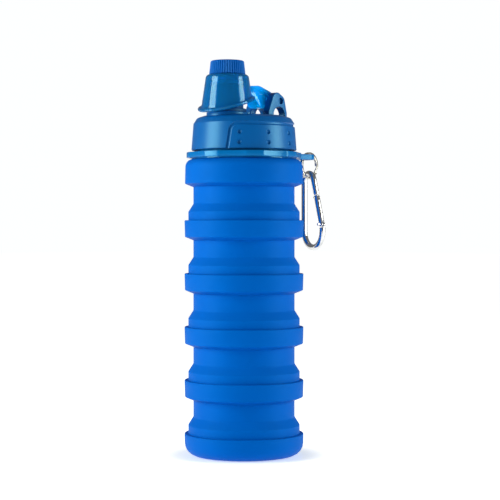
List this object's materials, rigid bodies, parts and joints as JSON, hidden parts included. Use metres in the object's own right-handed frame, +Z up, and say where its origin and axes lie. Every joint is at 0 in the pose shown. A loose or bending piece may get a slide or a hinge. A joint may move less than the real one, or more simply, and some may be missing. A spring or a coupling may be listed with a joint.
{
  "type": "folding water bottle",
  "caption": "Soft ribbed bottle that pushes down on itself, with a screw lid, a spout under a hinged cover with a small screw cap, and a snap hook on a key ring.",
  "frame": {"origin": "centre of the base's flat underside, on the bottle's axis", "axes": "+Z up along the bottle's axis, +X from the axis towards the hinge of the cover, so the spout is on the -X side"},
  "size_m": [0.0914, 0.0706, 0.2325],
  "materials": {
    "silicone": "matte moulded silicone, azure",
    "collar_plastic": "glossy moulded plastic, blue",
    "lid_plastic": "satin moulded plastic, deep blue",
    "cover_plastic": "clear tinted plastic, blue",
    "spout_plastic": "matte moulded plastic, deep blue",
    "cap_plastic": "satin moulded plastic with fine ribs, blue",
    "seal_rubber": "translucent white silicone",
    "ring_steel": "nickel-plated steel",
    "hook_aluminium": "polished aluminium",
    "pin_steel": "plain steel"
  },
  "bodies": {
    "base": {"base_cup": "silicone", "fold_web_1": "silicone"},
    "band_1": {"fold_band_1": "silicone", "fold_web_2": "silicone"},
    "band_2": {"fold_band_2": "silicone", "fold_web_3": "silicone"},
    "band_3": {"fold_band_3": "silicone", "fold_web_4": "silicone"},
    "band_4": {"fold_band_4": "silicone", "fold_web_5": "silicone"},
    "shoulder": {"shoulder_band": "silicone", "neck_collar": "collar_plastic", "neck_clamp_ring": "collar_plastic"},
    "lid_seal": {"lid_gasket": "seal_rubber"},
    "lid": {"lid_shell": "lid_plastic", "drinking_spout": "spout_plastic", "hinge_pin": "lid_plastic"},
    "cover": {"flip_cover": "cover_plastic", "cover_gasket": "seal_rubber"},
    "cap_seal": {"cap_liner": "seal_rubber"},
    "cap": {"ribbed_cap": "cap_plastic"},
    "key_ring": {"split_ring": "ring_steel"},
    "snap_hook": {"carabiner_frame": "hook_aluminium"},
    "gate": {"carabiner_gate": "hook_aluminium", "gate_rivet": "pin_steel", "latch_pin": "pin_steel", "gate_spring": "pin_steel"}
  },
  "joints": [
    {"name": "fold_1", "type": "slide", "parent": "base", "child": "band_1", "axis": [0, 0, 1], "range_m": [-0.014, 0], "deforming": ["fold_web_1"]},
    {"name": "fold_2", "type": "slide", "parent": "band_1", "child": "band_2", "axis": [0, 0, 1], "range_m": [-0.014, 0], "deforming": ["fold_web_2"]},
    {"name": "fold_3", "type": "slide", "parent": "band_2", "child": "band_3", "axis": [0, 0, 1], "range_m": [-0.014, 0], "deforming": ["fold_web_3"]},
    {"name": "fold_4", "type": "slide", "parent": "band_3", "child": "band_4", "axis": [0, 0, 1], "range_m": [-0.014, 0], "deforming": ["fold_web_4"]},
    {"name": "fold_5", "type": "slide", "parent": "band_4", "child": "shoulder", "axis": [0, 0, 1], "range_m": [-0.014, 0], "deforming": ["fold_web_5"]},
    {"name": "lid_lift", "type": "slide", "parent": "shoulder", "child": "lid_seal", "axis": [0, 0, 1], "range_m": [0, 0.012]},
    {"name": "lid_turn", "type": "hinge", "parent": "lid_seal", "child": "lid", "pos_m": [0, 0, 0.1955], "axis": [0, 0, 1], "range_deg": [0, 1081]},
    {"name": "cover_flip", "type": "hinge", "parent": "lid", "child": "cover", "pos_m": [0.0215, 0, 0.2105], "axis": [0, 1, 0], "range_deg": [0, 170]},
    {"name": "cap_lift", "type": "slide", "parent": "cover", "child": "cap_seal", "axis": [0, 0, 1], "range_m": [0, 0.004]},
    {"name": "cap_turn", "type": "hinge", "parent": "cap_seal", "child": "cap", "pos_m": [-0.0141, 0, 0.2296], "axis": [0, 0, 1], "range_deg": [0, 721]},
    {"name": "ring_swing", "type": "hinge", "parent": "shoulder", "child": "key_ring", "pos_m": [0.04784, -0.00916, 0.17247], "axis": [0.0872, -0.9962, 0], "range_deg": [-6, 30]},
    {"name": "hook_swing", "type": "hinge", "parent": "key_ring", "child": "snap_hook", "pos_m": [0.04784, -0.00916, 0.16492], "axis": [-0.9613, 0.2756, 0], "range_deg": [-25, 25]},
    {"name": "gate_open", "type": "hinge", "parent": "snap_hook", "child": "gate", "pos_m": [0.04391, -0.02289, 0.13662], "axis": [-0.9613, 0.2756, 0], "range_deg": [0, 25], "stiffness_Nm_per_rad": 0.02, "springref_deg": -11.46}
  ],
  "couplings": [
    {"joint": "lid_turn", "follows": "lid_lift", "rad_per_m": 1570.8},
    {"joint": "cap_turn", "follows": "cap_lift", "rad_per_m": 3141.6}
  ]
}
